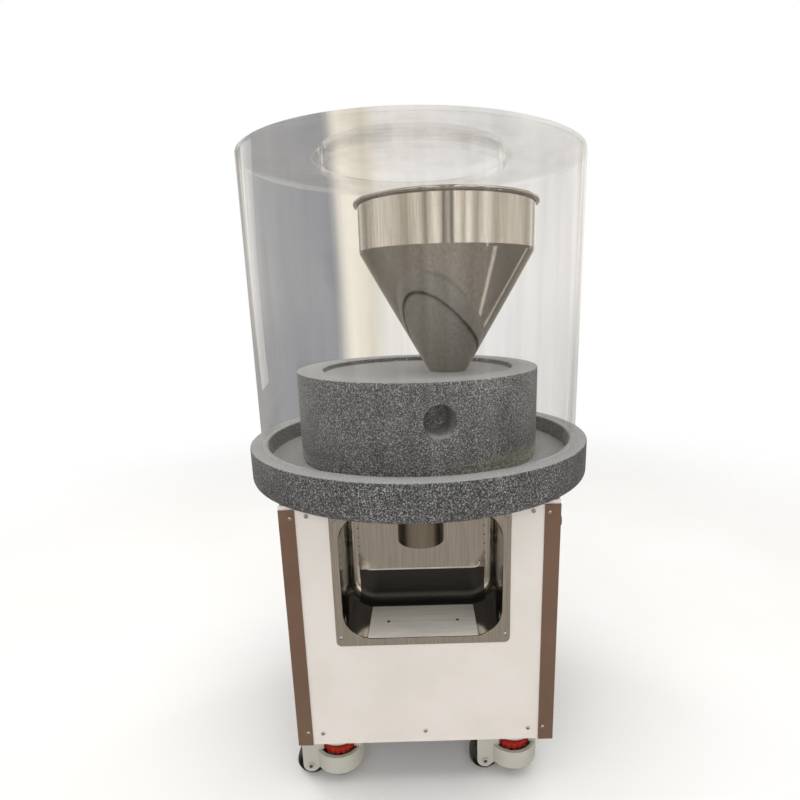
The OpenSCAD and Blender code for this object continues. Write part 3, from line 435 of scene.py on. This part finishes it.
def makeCover(s):
    inner, tubeTop = s["radius"] - s["wall"], s["discLow"] - s["glue"]
    tube = [(inner, s["low"]), (s["radius"], s["low"]), (s["radius"], tubeTop), (inner, tubeTop)]
    disc = [(s["fill"], s["discLow"]), (s["radius"], s["discLow"]), (s["radius"], s["top"]), (s["fill"], s["top"])]
    brimLow, bore, ceiling = s["top"] + s["lidGap"], s["collar"] - s["lidWall"], s["lidTop"] - s["lidWall"]
    lid = [(bore, s["collarLow"]), (s["collar"], s["collarLow"]), (s["collar"], brimLow), (s["brim"], brimLow),
           (s["brim"], s["brimTop"]), (s["collar"], s["brimTop"]), (s["collar"], s["lidTop"]), (0, s["lidTop"]),
           (0, ceiling), (bore, ceiling)]
    for name, node, outline, steps, edge in (("coverTube", "cover_shell", tube, s["steps"], s["tubeEdge"]),
                                             ("coverDisc", "cover_top", disc, s["steps"], s["discEdge"]),
                                             ("fillLid", "fill_lid", lid, s["lidSteps"], s["discEdge"])):
        piece = addPiece(name, lathe(outline, steps, bevel=edge, segments=2), "clear_acrylic", node)
        piece.visible_shadow = False  # clear walls let the light in


makeCover(coverSpec)

# Chute: a steel tube held by a flange above the niche
chuteSpec = {"y": -146, "radius": 35, "wall": 2, "low": 417, "top": 496, "flange": 42, "flangeLow": 487,
             "flangeTop": 490, "edge": 0.6, "steps": 72}


def makeChute(s):
    bore = s["radius"] - s["wall"]
    outline = [(bore, s["low"]), (s["radius"], s["low"]), (s["radius"], s["flangeLow"]),
               (s["flange"], s["flangeLow"]), (s["flange"], s["flangeTop"]), (s["radius"], s["flangeTop"]),
               (s["radius"], s["top"]), (bore, s["top"])]
    tube = lathe(outline, s["steps"], (0, s["y"]), bevel=s["edge"], segments=2)
    addPiece("chuteTube", tube, "chute_steel", "discharge_chute")


makeChute(chuteSpec)
print("hopper, cover and chute made")

# Niche: a deep-drawn pan with round corners and a flat frame screwed to the panel.
# Its back wall's foot is nearly black, a painted shade, with a pale bead above it, a painted highlight along the
# crease.
nicheSpec = {"width": 236.4, "height": 199.4, "middle": 382.5, "front": -201.5, "back": -87.5, "corner": 43,
             "fillet": 13, "filletSteps": 6, "frameWidth": 260, "frameHeight": 223, "frameCorner": 8,
             # how far each loop grows outwards and how far it lies behind the front, with close loops at the edges
             "frameLoops": [(0, 1.5), (0, 0.3), (-0.3, 0), (-0.8, 0)],
             "mouthLoops": [(1.7, 0), (1.2, 0), (0.35, 0.35), (0, 1.2), (0, 2.2)], "support": 1,
             # the back wall's foot is painted shade below this height, behind this depth and within this half width
             "dark": 338, "paintedShadeFront": -113, "paintedShadeHalf": 104, "highlightBead": 1.5,
             # a painted highlight: a pale bead, its radius at the end of the line above, runs along this path, across
             # and rising in mm
             "highlightBeadPath": [(-96, 10), (-95, 4), (-91, 0.8), (-86, 0), (86, 0), (91, 0.8), (95, 4), (96, 10)]}


def roundedLoop(width, height, corner, steps=10):  # points of a rounded rectangle round the middle, in mm
    points = []
    for quarter, (sx, sz) in enumerate(((1, 1), (-1, 1), (-1, -1), (1, -1))):
        for k in range(steps + 1):
            angle = math.pi / 2 * (quarter + k / steps)
            points.append((sx * (width / 2 - corner) + corner * math.cos(angle),
                           sz * (height / 2 - corner) + corner * math.sin(angle)))
    return points


def makeNiche(s):
    frameSize, panSize = [[s[key] for key in keys] for keys in (("frameWidth", "frameHeight", "frameCorner"),
                                                                ("width", "height", "corner"))]
    loops = [(frameSize, grow, s["front"] + deep) for grow, deep in s["frameLoops"]]
    loops += [(panSize, grow, s["front"] + deep) for grow, deep in s["mouthLoops"]]
    loops.append((panSize, 0, s["back"] - s["fillet"] - s["support"]))
    for k in range(s["filletSteps"] + 1):
        angle = math.pi / 2 * k / s["filletSteps"]
        loops.append((panSize, s["fillet"] * (math.cos(angle) - 1), s["back"] + s["fillet"] * (math.sin(angle) - 1)))
    loops.append((panSize, -s["fillet"] - s["support"], s["back"]))
    pan = bmesh.new()
    rings = [[pan.verts.new((x * mm, y * mm, (s["middle"] + z) * mm))
              for x, z in roundedLoop(width + 2 * grow, height + 2 * grow, corner + grow)]
             for (width, height, corner), grow, y in loops]
    for outer, inner in zip(rings, rings[1:]):
        for i in range(len(outer)):
            pan.faces.new((outer[i - 1], outer[i], inner[i], inner[i - 1]))
    pan.faces.new(rings[-1])
    # the pan is split where the painted shade ends, and the back wall's foot takes the nearly black finish: painted
    # shade
    side = s["paintedShadeHalf"] * mm
    for spot, way in (((0, 0, s["dark"] * mm), (0, 0, 1)), ((0, s["paintedShadeFront"] * mm, 0), (0, 1, 0)),
                      ((-side, 0, 0), (1, 0, 0)), ((side, 0, 0), (1, 0, 0))):
        bmesh.ops.bisect_plane(pan, geom=pan.verts[:] + pan.edges[:] + pan.faces[:], plane_co=spot, plane_no=way)
    bmesh.ops.recalc_face_normals(pan, faces=pan.faces)
    for face in pan.faces:
        spot = face.calc_center_median() / mm
        dark = spot.z < s["dark"] and spot.y > s["paintedShadeFront"] and abs(spot.x) < s["paintedShadeHalf"]
        face.material_index = int(dark)
    piece = addPiece("nichePan", pan, "niche_steel", "niche_liner")
    piece.data.materials.append(finishes["painted_shade_steel"])


# a pale tube along the crease of the back wall: a painted highlight
def makeHighlightBead(s):
    highlightBead = bpy.data.curves.new("paintedHighlightBead", "CURVE")
    highlightBead.dimensions = "3D"
    highlightBead.bevel_depth = s["highlightBead"] * mm
    line = highlightBead.splines.new("POLY")
    line.points.add(len(s["highlightBeadPath"]) - 1)
    for point, (x, rise) in zip(line.points, s["highlightBeadPath"]):
        point.co = (x * mm, s["back"] * mm, (s["dark"] + rise) * mm, 1)
    highlightBead.materials.append(finishes["painted_light_steel"])
    piece = bpy.data.objects.new("paintedHighlightBead", highlightBead)
    scene.collection.objects.link(piece)
    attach(piece, "cabinet")


makeNiche(nicheSpec)
makeHighlightBead(nicheSpec)

# Plate screwed to the niche's floor, its near-white tone a painted reflection of light, with dark hexagons on its
# screws as painted shade of their holes, and spot welds up the back wall's sides
plateSpec = {"half": 97, "front": -199.5, "back": -113, "low": 282.85, "high": 283.5, "edge": 0.2,
             "weldX": 104, "weldY": -87.9, "weldHeights": (348, 476, 16),
             "weldShape": [(0, 0), (1.1, 0), (0.66, 0.35), (0, 0.4)], "weldSteps": 14,
             # floor screws, with dark hexagons on their heads as painted shade of their holes: radius, height,
             # thickness, sides
             "floorX": 54, "floorY": -158, "socket": 2.6, "holeShadeLow": 284.05, "holeShadeHigh": 0.15, "holeShadeSides": 6}


def makeNicheTrim(s):
    plate = block((2 * s["half"], s["back"] - s["front"], s["high"] - s["low"]))
    seat(plate, shift(0, (s["back"] + s["front"]) / 2, (s["high"] + s["low"]) / 2))
    bmesh.ops.bevel(plate, geom=plate.edges[:], offset=s["edge"] * mm, segments=2, profile=0.5, affect="EDGES",
                    material=-1)
    # the plate is a real sheet; its near-white finish is a painted reflection of light
    addPiece("nichePlate", plate, "painted_light_steel", body="cabinet")
    weldsAndHoleShade = bmesh.new()
    for z in range(*s["weldHeights"]):
        for side in (-1, 1):
            spot = lathe(s["weldShape"], s["weldSteps"])
            seat(spot, shift(side * s["weldX"], s["weldY"], z) @ turn(90, "X"))
            joinInto(weldsAndHoleShade, spot)
    # dark hexagons on the floor screws' heads: painted shade of their holes
    for side in (-1, 1):
        socket = lathe([(0, 0), (s["socket"], 0), (s["socket"], s["holeShadeHigh"]), (0, s["holeShadeHigh"])],
                       s["holeShadeSides"], (side * s["floorX"], s["floorY"]))
        seat(socket, shift(0, 0, s["holeShadeLow"]))
        joinInto(weldsAndHoleShade, socket)
    addPiece("nicheWeldsAndHoleShade", weldsAndHoleShade, "cast_dark", body="cabinet")


makeNicheTrim(plateSpec)

# Screws: low round heads with a cross recess
screwSpec = {"head": 3.3, "headEdge": 0.6, "rise": 2.0, "shoulder": (0.82, 0.75), "crown": 0.5, "shank": 2,
             "shankDeep": 6, "steps": 28, "crossLong": 3.6, "crossWide": 0.8, "crossDeep": 0.9, "crossTurn": 0.4,
             "panelX": 161, "panelTop": 480, "panelLow": 116, "panelFace": 200,
             "flangeX": 183.5, "flangeTop": 478, "flangeLow": 119, "flangeFace": 202,
             "frameX": 122.5, "frameTop": 474, "frameLow": 285, "frameFace": 201.5,
             "floorX": 54, "floorY": -158, "floorZ": 282.0}


def makeScrews(s, name, node, spots):  # each spot is a place in mm and the way the head faces
    heads = bmesh.new()
    cuts = [bmesh.new(), bmesh.new()]  # the two bars of each cross, carved one after the other
    dome = [(0, -s["shankDeep"]), (s["shank"], -s["shankDeep"]), (s["shank"], 0), (s["head"], 0),
            (s["head"], s["headEdge"]), (s["head"] * s["shoulder"][0], s["rise"] * s["shoulder"][1]),
            (s["head"] * s["crown"], s["rise"]), (0, s["rise"])]
    for place, facing in spots:
        aim = Vector((0, 0, 1)).rotation_difference(Vector(facing)).to_matrix().to_4x4()
        base = Matrix.Translation(Vector(place) * mm) @ aim
        head = lathe(dome, s["steps"])
        seat(head, base)
        joinInto(heads, head)
        for quarter, bars in enumerate(cuts):
            bar = block((s["crossLong"], s["crossWide"], 2 * s["crossDeep"]))
            spin = Matrix.Rotation(quarter * math.pi / 2 + s["crossTurn"], 4, "Z")
            seat(bar, base @ (shift(0, 0, s["rise"]) @ spin))
            joinInto(bars, bar)
    piece = addPiece(name, heads, "screw_steel", node)
    for bars in cuts:
        carve(piece, bars)


def cornerSpots(s, group):  # left and right, top and low
    return [(x, z) for x in (-s[group + "X"], s[group + "X"]) for z in (s[group + "Top"], s[group + "Low"])]


def bothFaces(spots, depth):  # the same spots on the front and on the back
    return [((x, side * depth, z), (0, side, 0)) for x, z in spots for side in (-1, 1)]


def makeAllScrews(s):
    panelSpots = cornerSpots(s, "panel") + [(0, s["panelLow"])]
    makeScrews(s, "panelScrews", "panel_screws", bothFaces(panelSpots, s["panelFace"]))
    makeScrews(s, "flangeScrews", "flange_screws", bothFaces(cornerSpots(s, "flange"), s["flangeFace"]))
    nicheSpots = [((x, -s["frameFace"], z), (0, -1, 0)) for x, z in cornerSpots(s, "frame")]
    nicheSpots += [((x, s["floorY"], s["floorZ"]), (0, 0, 1)) for x in (-s["floorX"], s["floorX"])]
    makeScrews(s, "nicheScrews", "niche_screws", nicheSpots)


makeAllScrews(screwSpec)
print("niche and screws made")

# Cabinet sheets, rocker and inlet keep their CAD shapes, with broken edges of these widths
sheetEdges = {"front_panel": 0.5, "rear_panel": 0.4, "left_side_panel": 0.8, "right_side_panel": 0.8,
              "top_plate": 1.0, "rocker_bezel": 0.5, "power_inlet": 0.6, "power_rocker": 0.5}
for node, width in sheetEdges.items():
    dress(node, width)

# Speed knob: a fluted cap on its stem, with a raised pointer line
knobSpec = {"y": -121, "z": 433, "face": 200.3, "radius": 13, "length": 20, "stem": 3, "stemLow": -11.6,
            "skirtHigh": 3, "gripLow": (1.4, 5), "gripTop": (2.2, 1.5), "crownIn": 3.7,
            "flutes": 18, "fluteSteps": 6, "fluteLow": 4, "fluteReach": 5, "fluteShare": 0.05,
            "line": (7, 1.4, 1.0), "lineX": -5}


def makeKnob(s):
    radius, length = s["radius"], s["length"]
    knob = lathe([(0, s["stemLow"]), (s["stem"], s["stemLow"]), (s["stem"], 0), (radius, 0), (radius, s["skirtHigh"]),
                  (radius - s["gripLow"][0], s["gripLow"][1]), (radius - s["gripTop"][0], length - s["gripTop"][1]),
                  (radius - s["crownIn"], length), (0, length)], s["flutes"] * s["fluteSteps"])
    for v in knob.verts:  # the grip is drawn in along each flute
        if v.co.z > s["fluteLow"] * mm and math.hypot(v.co.x, v.co.y) > (radius - s["fluteReach"]) * mm:
            phase = math.atan2(v.co.y, v.co.x) * s["flutes"]
            pull = 1 - s["fluteShare"] * max(0, math.cos(phase)) ** 2
            v.co.x *= pull
            v.co.y *= pull
    line = block(s["line"])
    seat(line, shift(s["lineX"], 0, length))
    joinInto(knob, line)
    seat(knob, shift(s["face"], s["y"], s["z"]) @ turn(90, "Y"))
    addPiece("speedKnob", knob, "black_plastic", "speed_knob")


makeKnob(knobSpec)

# Castors: cast bodies, moulded wheels with a hub, red thumbwheels, rubber feet
castorSpec = {"places": {"fl": (-145, -146), "fr": (145, -146), "rl": (-145, 146), "rr": (145, 146)},
              "bodyEdge": 1.6, "thumbEdge": 0.5, "footEdge": 1.0, "plateEdge": 0.6,
              "step": 47, "axle": 25, "wheel": 25, "width": 28, "bore": 5.05, "hub": (9.6, 10.4),
              "tread": (19.4, 20.4), "dish": 5, "corner": 3, "crownIn": 0.8, "crown": 8, "wheelSteps": 72,
              "bolt": 3.2, "boltOut": 24, "boltRim": 0.9, "boltHigh": 1.3, "boltEdge": 0.5, "boltSides": 6}


def makeCastor(s, key, x, y):
    dress("castor_body_" + key, s["bodyEdge"], segments=3)
    dress("thumbwheel_" + key, s["thumbEdge"])
    dress("levelling_foot_" + key, s["footEdge"])
    half = s["width"] / 2
    nearSide = [(s["bore"], -half), (s["hub"][0], -half), (s["hub"][1], s["dish"] - half),
                (s["tread"][0], s["dish"] - half), (s["tread"][1], -half), (s["wheel"] - s["corner"], -half),
                (s["wheel"] - s["crownIn"], s["corner"] - half), (s["wheel"], s["crown"] - half)]
    farSide = [(radius, -place) for radius, place in reversed(nearSide)]
    wheel = lathe(nearSide + farSide, s["wheelSteps"])
    axle = shift(x - s["step"], y, s["axle"])
    seat(wheel, axle @ turn(90, "X"))
    addPiece("castorWheel." + key, wheel, "castor_nylon", "castor_wheel_" + key)
    bolts = bmesh.new()
    for side in (-1, 1):
        bolt = lathe([(0, 0), (s["bolt"], 0), (s["bolt"], s["boltRim"]), (s["bolt"] - s["boltEdge"], s["boltHigh"]),
                      (0, s["boltHigh"])], s["boltSides"])
        seat(bolt, axle @ shift(0, side * s["boltOut"], 0) @ turn(-90 * side, "X"))
        joinInto(bolts, bolt)
    addPiece("axleBolts." + key, bolts, "cast_dark", body="castor_" + key)


for key, (x, y) in castorSpec["places"].items():
    makeCastor(castorSpec, key, x, y)
dress("castor_plates", castorSpec["plateEdge"])
print("knob and castors made")

# Camera at the photograph's viewing angle
cameraSpec = {"place": (8, -934, 773), "pitch": 13.97, "yaw": 0.55, "roll": -1.21, "lens": 24.91, "sensor": 36,
              "shift": (-0.0363, 0.0471), "near": 10}


def placeCamera(s):
    pitch, yaw, roll = (math.radians(s[key]) for key in ("pitch", "yaw", "roll"))
    ahead = Vector((math.sin(yaw) * math.cos(pitch), math.cos(yaw) * math.cos(pitch), -math.sin(pitch)))
    right = Vector((math.cos(yaw), -math.sin(yaw), 0))
    up = right.cross(ahead)
    across = math.cos(roll) * right + math.sin(roll) * up
    rise = -math.sin(roll) * right + math.cos(roll) * up
    data = bpy.data.cameras.new("camera")
    data.lens = s["lens"]
    data.sensor_width = s["sensor"]
    data.shift_x, data.shift_y = s["shift"]
    data.clip_start = s["near"] * mm
    camera = bpy.data.objects.new("camera", data)
    aim = Matrix((across, rise, -ahead)).transposed().to_4x4()
    camera.matrix_world = Matrix.Translation(Vector(s["place"]) * mm) @ aim
    scene.collection.objects.link(camera)
    scene.camera = camera


placeCamera(cameraSpec)

# Floor: pale paper that fades out into the white surround, radii in metres
floorSpec = {"tones": ("f4f3f1", "f1f0ed"), "rough": (0.7, 0.9), "tooth": 3, "bump": 0.02, "cloud": 400,
             "fadeFrom": 1.2, "radius": 2.6, "sides": 96}


def layFloor(s):
    bm = bmesh.new()
    bmesh.ops.create_circle(bm, cap_ends=True, segments=s["sides"], radius=s["radius"])
    mesh = bpy.data.meshes.new("floor")
    bm.to_mesh(mesh)
    bm.free()
    floor = bpy.data.objects.new("floor", mesh)
    scene.collection.objects.link(floor)
    paper = coating("floor paper pale", *s["tones"], s["rough"], s["tooth"], s["bump"], s["cloud"])
    tree = paper.node_tree
    away = addNode(tree, "ShaderNodeVectorMath", links={0: addNode(tree, "ShaderNodeTexCoord").outputs["Object"]},
                   operation="LENGTH")
    fade = addNode(tree, "ShaderNodeMapRange", {"From Min": s["radius"], "From Max": s["fadeFrom"]},
                   {"Value": away.outputs["Value"]}, interpolation_type="SMOOTHSTEP")
    tree.links.new(fade.outputs["Result"], tree.nodes["Principled BSDF"].inputs["Alpha"])
    mesh.materials.append(paper)
    floor.visible_glossy = False
    floor.visible_transmission = False


layFloor(floorSpec)

# Surround: white to the camera, a soft fill for light, bands for the steel to mirror, a grey and cream room behind
# the clear cover. The tones run from left to right, and those of the fill from low to high.
surroundSpec = {
    "fill": 0.62,
    "fillTones": [(0.0, "e4e2de"), (0.46, "b8b6b3"), (0.56, "bcbcbc"), (0.8, "f4f4f4"), (1.0, "ffffff")],
    "mirrorFront": 2.3, "mirrorBehind": 1.6, "behind": (0.1, 0.6), "horizon": (-0.12, 0.04),
    "bandTones": [(0.0, "d8d2c8"), (0.1, "a59d92"), (0.2, "d9d2c7"), (0.27, "8b8379"), (0.35, "e6e0d6"),
                  (0.42, "c9c2b7"), (0.45, "6a645e"), (0.5, "b5ada3"), (0.54, "5e5852"), (0.58, "f2ede4"),
                  (0.66, "b9b1a6"), (0.7, "f4efe7"), (0.79, "a39b90"), (0.86, "efe9e0"), (0.93, "b3aba0"),
                  (1.0, "cdc6bb")],
    "groundTones": [(0.0, "7c766e"), (0.2, "7c766e"), (0.36, "868078"), (0.64, "868078"), (0.85, "726d65"),
                    (0.857, "c2bcb0"), (0.866, "c2bcb0"), (0.874, "6a655e"), (1.0, "6a655e")],
    "roomTones": [(0.0, "e2e1df"), (0.31, "dcdbd9"), (0.345, "b6b6b6"), (0.375, "929397"), (0.428, "929397"),
                  (0.436, "f2eadb"), (0.458, "e2dac9"), (0.472, "f0ece7"), (0.53, "e6e4e2"), (1.0, "dddcda")]}


def makeSurround(s):
    world = bpy.data.worlds.new("studio")
    scene.world = world
    world.use_nodes = True
    tree = world.node_tree
    white = tree.nodes["Background"]
    white.inputs["Color"].default_value = linear("ffffff")
    way = addNode(tree, "ShaderNodeSeparateXYZ",
                  links={"Vector": addNode(tree, "ShaderNodeTexCoord").outputs["Generated"]})
    rise, across = (addNode(tree, "ShaderNodeMapRange", {"From Min": -1.0, "From Max": 1.0},
                            {"Value": way.outputs[axis]}).outputs["Result"] for axis in "ZX")
    fillTone = addNode(tree, "ShaderNodeValToRGB", links={"Fac": rise}, stops=s["fillTones"])
    fill = addNode(tree, "ShaderNodeBackground", {"Strength": s["fill"]}, {"Color": fillTone.outputs["Color"]})
    bandTone, groundTone, roomTone = (
        addNode(tree, "ShaderNodeValToRGB", links={"Fac": across}, stops=s[key]).outputs["Color"]
        for key in ("bandTones", "groundTones", "roomTones"))
    horizon = addNode(tree, "ShaderNodeMapRange", {"From Min": s["horizon"][0], "From Max": s["horizon"][1]},
                      {"Value": way.outputs["Z"]})
    mirrorTone = addNode(tree, "ShaderNodeMix", links={"Factor": horizon.outputs["Result"], "A": groundTone,
                                                       "B": bandTone}, data_type="RGBA")
    strength = addNode(tree, "ShaderNodeMapRange", {"From Min": s["behind"][0], "From Max": s["behind"][1],
                                                    "To Min": s["mirrorFront"], "To Max": s["mirrorBehind"]},
                       {"Value": way.outputs["Y"]})
    mirrored = addNode(tree, "ShaderNodeBackground", links={"Color": mirrorTone.outputs["Result"],
                                                            "Strength": strength.outputs["Result"]})
    room = addNode(tree, "ShaderNodeBackground", links={"Color": roomTone})
    path = addNode(tree, "ShaderNodeLightPath")
    afterMirror = addNode(tree, "ShaderNodeMath", {1: 0.5}, {0: path.outputs["Glossy Depth"]},
                          operation="GREATER_THAN")
    through = addNode(tree, "ShaderNodeMixShader",
                      links={0: afterMirror.outputs["Value"], 1: room.outputs[0], 2: mirrored.outputs[0]})
    bounced = addNode(tree, "ShaderNodeMixShader",
                      links={0: path.outputs["Is Glossy Ray"], 1: fill.outputs[0], 2: mirrored.outputs[0]})
    passed = addNode(tree, "ShaderNodeMixShader",
                     links={0: path.outputs["Is Transmission Ray"], 1: bounced.outputs[0], 2: through.outputs[0]})
    seen = addNode(tree, "ShaderNodeMixShader",
                   links={0: path.outputs["Is Camera Ray"], 1: passed.outputs[0], 2: white.outputs[0]})
    tree.links.new(seen.outputs[0], tree.nodes["World Output"].inputs["Surface"])


makeSurround(surroundSpec)

# Soft boxes: place and target in mm, size in metres, power, and whether the steel and the cover mirror it
lampSpec = {"overhead": ((0, -300, 2700), (0, 0, 500), (2.2, 1.8), 40, True),
            "left": ((-2100, 1500, 1500), (0, 0, 700), (0.8, 3.0), 14, True),
            "right": ((2100, 1700, 1500), (0, 0, 700), (0.7, 3.0), 12, False),
            "front": ((-900, -2900, 2100), (0, 0, 500), (1.6, 1.2), 11, False),
            "low": ((200, -1500, 950), (0, -150, 300), (0.9, 0.5), 5, False)}


def placeLamps(s):
    for name, (place, target, size, power, mirrored) in s.items():
        data = bpy.data.lights.new(name, "AREA")
        data.shape = "RECTANGLE"
        data.size, data.size_y = size
        data.energy = power
        lamp = bpy.data.objects.new(name, data)
        aim = Vector(target) - Vector(place)
        lamp.location = Vector(place) * mm
        lamp.rotation_euler = aim.to_track_quat("-Z", "Y").to_euler()
        lamp.visible_camera = False
        lamp.visible_transmission = False
        lamp.visible_glossy = mirrored
        scene.collection.objects.link(lamp)


placeLamps(lampSpec)
scene.view_settings.view_transform = "Standard"
print("camera and lights placed")
